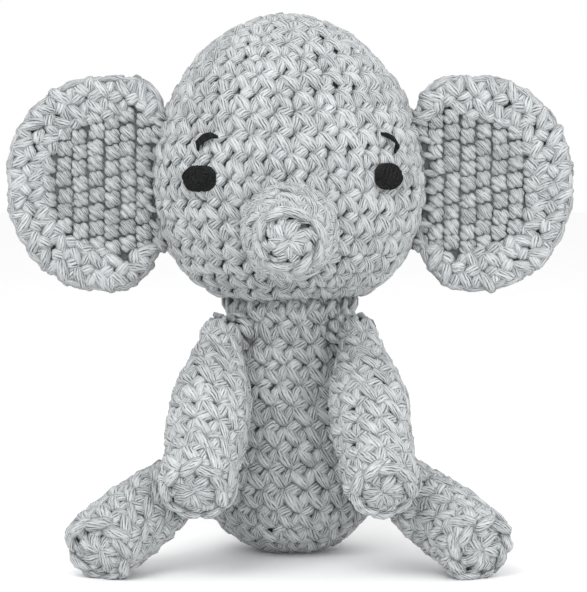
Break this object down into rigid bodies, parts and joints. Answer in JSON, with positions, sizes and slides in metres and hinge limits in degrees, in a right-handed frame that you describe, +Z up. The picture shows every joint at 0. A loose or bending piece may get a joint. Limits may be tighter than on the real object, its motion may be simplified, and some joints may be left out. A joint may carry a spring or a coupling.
{
  "type": "crocheted stuffed elephant",
  "caption": "Sitting stuffed elephant of crocheted grey yarn with round head, wide flat ears, short forward trunk and tube arms and legs sewn to a pear-shaped body.",
  "frame": {"origin": "centre of the flat seat under the body, on the surface that the toy sits on", "axes": "+Z up; the face looks along -Y; the toy's own left side is +X"},
  "size_m": [0.1568, 0.107, 0.15],
  "materials": {
    "grey_yarn": "soft matt cotton yarn in crochet stitches",
    "sewing_yarn": "soft matt cotton yarn, whip-stitched",
    "black_thread": "black cotton thread in satin stitch",
    "filling": "loose white toy filling"
  },
  "bodies": {
    "torso": {"body_cover": "grey_yarn", "body_filling": "filling"},
    "neck": {"neck_seam": "sewing_yarn"},
    "head": {"head_cover": "grey_yarn", "head_filling": "filling", "left_eye": "black_thread", "right_eye": "black_thread", "left_brow": "black_thread", "right_brow": "black_thread", "left_ear_seam": "sewing_yarn", "right_ear_seam": "sewing_yarn"},
    "trunk_root": {"trunk_seam": "sewing_yarn"},
    "trunk": {"trunk_cover": "grey_yarn", "trunk_filling": "filling"},
    "left_shoulder": {"left_arm_seam": "sewing_yarn"},
    "left_arm": {"left_arm_cover": "grey_yarn", "left_arm_filling": "filling"},
    "left_hip": {"left_leg_seam": "sewing_yarn"},
    "left_leg": {"left_leg_cover": "grey_yarn", "left_leg_filling": "filling"},
    "left_ear": {"left_ear": "grey_yarn"},
    "right_shoulder": {"right_arm_seam": "sewing_yarn"},
    "right_arm": {"right_arm_cover": "grey_yarn", "right_arm_filling": "filling"},
    "right_hip": {"right_leg_seam": "sewing_yarn"},
    "right_leg": {"right_leg_cover": "grey_yarn", "right_leg_filling": "filling"},
    "right_ear": {"right_ear": "grey_yarn"}
  },
  "joints": [
    {"name": "head_nod", "type": "hinge", "parent": "torso", "child": "neck", "pos_m": [0, 0, 0.068], "axis": [1, 0, 0], "range_deg": [-12, 12], "stiffness_Nm_per_rad": 0.15},
    {"name": "head_turn", "type": "hinge", "parent": "neck", "child": "head", "pos_m": [0, 0, 0.068], "axis": [0, 0, 1], "range_deg": [-25, 25], "stiffness_Nm_per_rad": 0.12},
    {"name": "trunk_lift", "type": "hinge", "parent": "head", "child": "trunk_root", "pos_m": [0, -0.03558, 0.091], "axis": [-1, 0, 0], "range_deg": [-12, 15], "stiffness_Nm_per_rad": 0.02},
    {"name": "trunk_sway", "type": "hinge", "parent": "trunk_root", "child": "trunk", "pos_m": [0, -0.03558, 0.091], "axis": [0, 0, 1], "range_deg": [-15, 15], "stiffness_Nm_per_rad": 0.02},
    {"name": "left_arm_raise", "type": "hinge", "parent": "torso", "child": "left_shoulder", "pos_m": [0.01854, -0.0167, 0.062], "axis": [-1, 0, 0], "range_deg": [-3, 28], "stiffness_Nm_per_rad": 0.03},
    {"name": "left_arm_spread", "type": "hinge", "parent": "left_shoulder", "child": "left_arm", "pos_m": [0.01854, -0.0167, 0.062], "axis": [0, -1, 0], "range_deg": [-6, 30], "stiffness_Nm_per_rad": 0.03},
    {"name": "left_leg_lift", "type": "hinge", "parent": "torso", "child": "left_hip", "pos_m": [0.02651, -0.02225, 0.02408], "axis": [-0.7431, -0.6691, 0], "range_deg": [-8, 15], "stiffness_Nm_per_rad": 0.04},
    {"name": "left_leg_spread", "type": "hinge", "parent": "left_hip", "child": "left_leg", "pos_m": [0.02651, -0.02225, 0.02408], "axis": [0, 0, 1], "range_deg": [-6, 20], "stiffness_Nm_per_rad": 0.04},
    {"name": "left_ear_flap", "type": "hinge", "parent": "head", "child": "left_ear", "pos_m": [0.04, -0.006, 0.1028], "axis": [0, 0, -1], "range_deg": [-20, 20], "stiffness_Nm_per_rad": 0.02},
    {"name": "right_arm_raise", "type": "hinge", "parent": "torso", "child": "right_shoulder", "pos_m": [-0.01854, -0.0167, 0.062], "axis": [-1, 0, 0], "range_deg": [-3, 28], "stiffness_Nm_per_rad": 0.03},
    {"name": "right_arm_spread", "type": "hinge", "parent": "right_shoulder", "child": "right_arm", "pos_m": [-0.01854, -0.0167, 0.062], "axis": [0, 1, 0], "range_deg": [-6, 30], "stiffness_Nm_per_rad": 0.03},
    {"name": "right_leg_lift", "type": "hinge", "parent": "torso", "child": "right_hip", "pos_m": [-0.02651, -0.02225, 0.02408], "axis": [-0.7431, 0.6691, 0], "range_deg": [-8, 15], "stiffness_Nm_per_rad": 0.04},
    {"name": "right_leg_spread", "type": "hinge", "parent": "right_hip", "child": "right_leg", "pos_m": [-0.02651, -0.02225, 0.02408], "axis": [0, 0, -1], "range_deg": [-6, 20], "stiffness_Nm_per_rad": 0.04},
    {"name": "right_ear_flap", "type": "hinge", "parent": "head", "child": "right_ear", "pos_m": [-0.04, -0.006, 0.1028], "axis": [0, 0, 1], "range_deg": [-20, 20], "stiffness_Nm_per_rad": 0.02}
  ]
}
